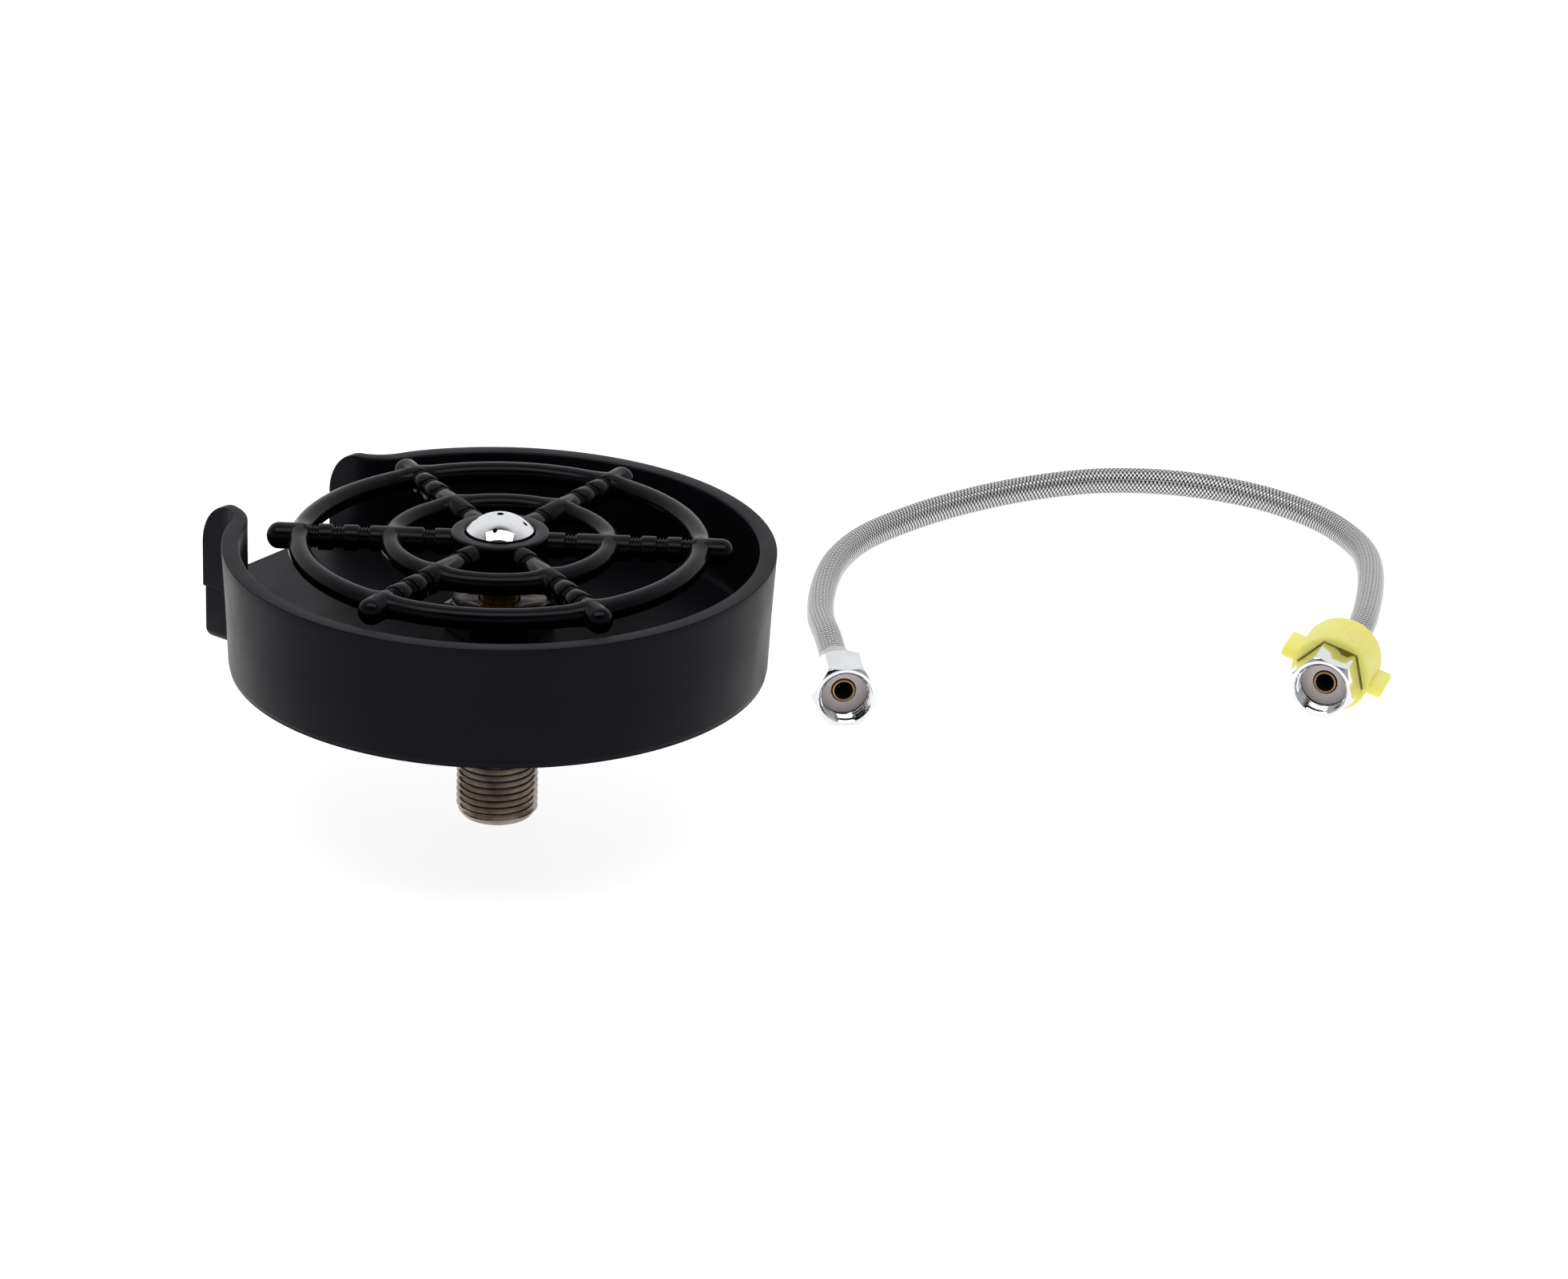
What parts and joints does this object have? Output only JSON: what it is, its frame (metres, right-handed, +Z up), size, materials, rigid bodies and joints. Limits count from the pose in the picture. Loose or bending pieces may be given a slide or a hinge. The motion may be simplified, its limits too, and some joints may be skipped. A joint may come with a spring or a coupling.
{
  "type": "sink glass rinser with supply hose",
  "caption": "Round countertop glass rinser: open basin with a side spout, press-down star grate over a spring valve on a threaded shank, and a loose braided hose with nuts.",
  "frame": {"origin": "bottom centre of the rinser's box, hose left out: z = 0 is the shank's lower end, and the shank's axis stands at x = 0, y = 3.5 mm", "axes": "+Z up along the shank; the spout points along -Y; +X is to the right, seen from the spout"},
  "size_m": [0.3891, 0.2204, 0.0821],
  "materials": {
    "basin_plastic": "matte blue-black moulded plastic",
    "star_plastic": "semi-gloss black moulded plastic",
    "chrome": "polished chrome plating",
    "nickel_shank": "gunmetal nickel plating on brass",
    "brass": "bare turned brass",
    "steel": "plain stainless steel",
    "black_rubber": "black sealing rubber",
    "washer_rubber": "brown-grey flat washer rubber",
    "guide_plastic": "natural acetal",
    "braid": "bright stainless wire braid over a rubber liner",
    "cover_plastic": "soft pale-yellow plastic"
  },
  "bodies": {
    "root": {"basin": "basin_plastic", "foot_gasket": "black_rubber", "threaded_shank": "nickel_shank", "shank_seal": "black_rubber", "valve_nut": "nickel_shank", "guide_bush": "guide_plastic", "guide_o_ring": "black_rubber", "inlet_strainer": "steel", "strainer_clip": "steel", "return_spring": "steel", "braided_hose": "braid", "left_washer": "washer_rubber", "left_tail": "brass", "left_ferrule": "steel", "right_washer": "washer_rubber", "right_tail": "brass", "right_ferrule": "steel"},
    "plunger": {"plunger": "brass", "poppet_seal": "black_rubber"},
    "star": {"star_grate": "star_plastic", "spray_dome": "chrome", "dome_seal": "black_rubber"},
    "left_nut": {"left_nut": "chrome"},
    "right_nut": {"right_nut": "chrome"},
    "cover": {"wing_cover": "cover_plastic"}
  },
  "joints": [
    {"name": "press", "type": "slide", "parent": "root", "child": "plunger", "axis": [0, 0, -1], "range_m": [0, 0.006], "stiffness_N_per_m": 600, "springref_m": -0.004, "deforming": ["return_spring"]},
    {"name": "star_turn", "type": "hinge", "parent": "plunger", "child": "star", "pos_m": [0, 0.0035, 0.074], "axis": [0, 0, 1], "continuous": true},
    {"name": "left_nut_turn", "type": "hinge", "parent": "root", "child": "left_nut", "pos_m": [-0.1035, 0.0392, 0.0081], "axis": [-0.7373, -0.6756, 0], "continuous": true},
    {"name": "right_nut_turn", "type": "hinge", "parent": "root", "child": "right_nut", "pos_m": [-0.1864, 0.1369, 0.011], "axis": [-0.9511, -0.309, 0], "continuous": true},
    {"name": "cover_slide", "type": "slide", "parent": "right_nut", "child": "cover", "axis": [-0.9511, -0.309, 0], "range_m": [0, 0.012]}
  ]
}
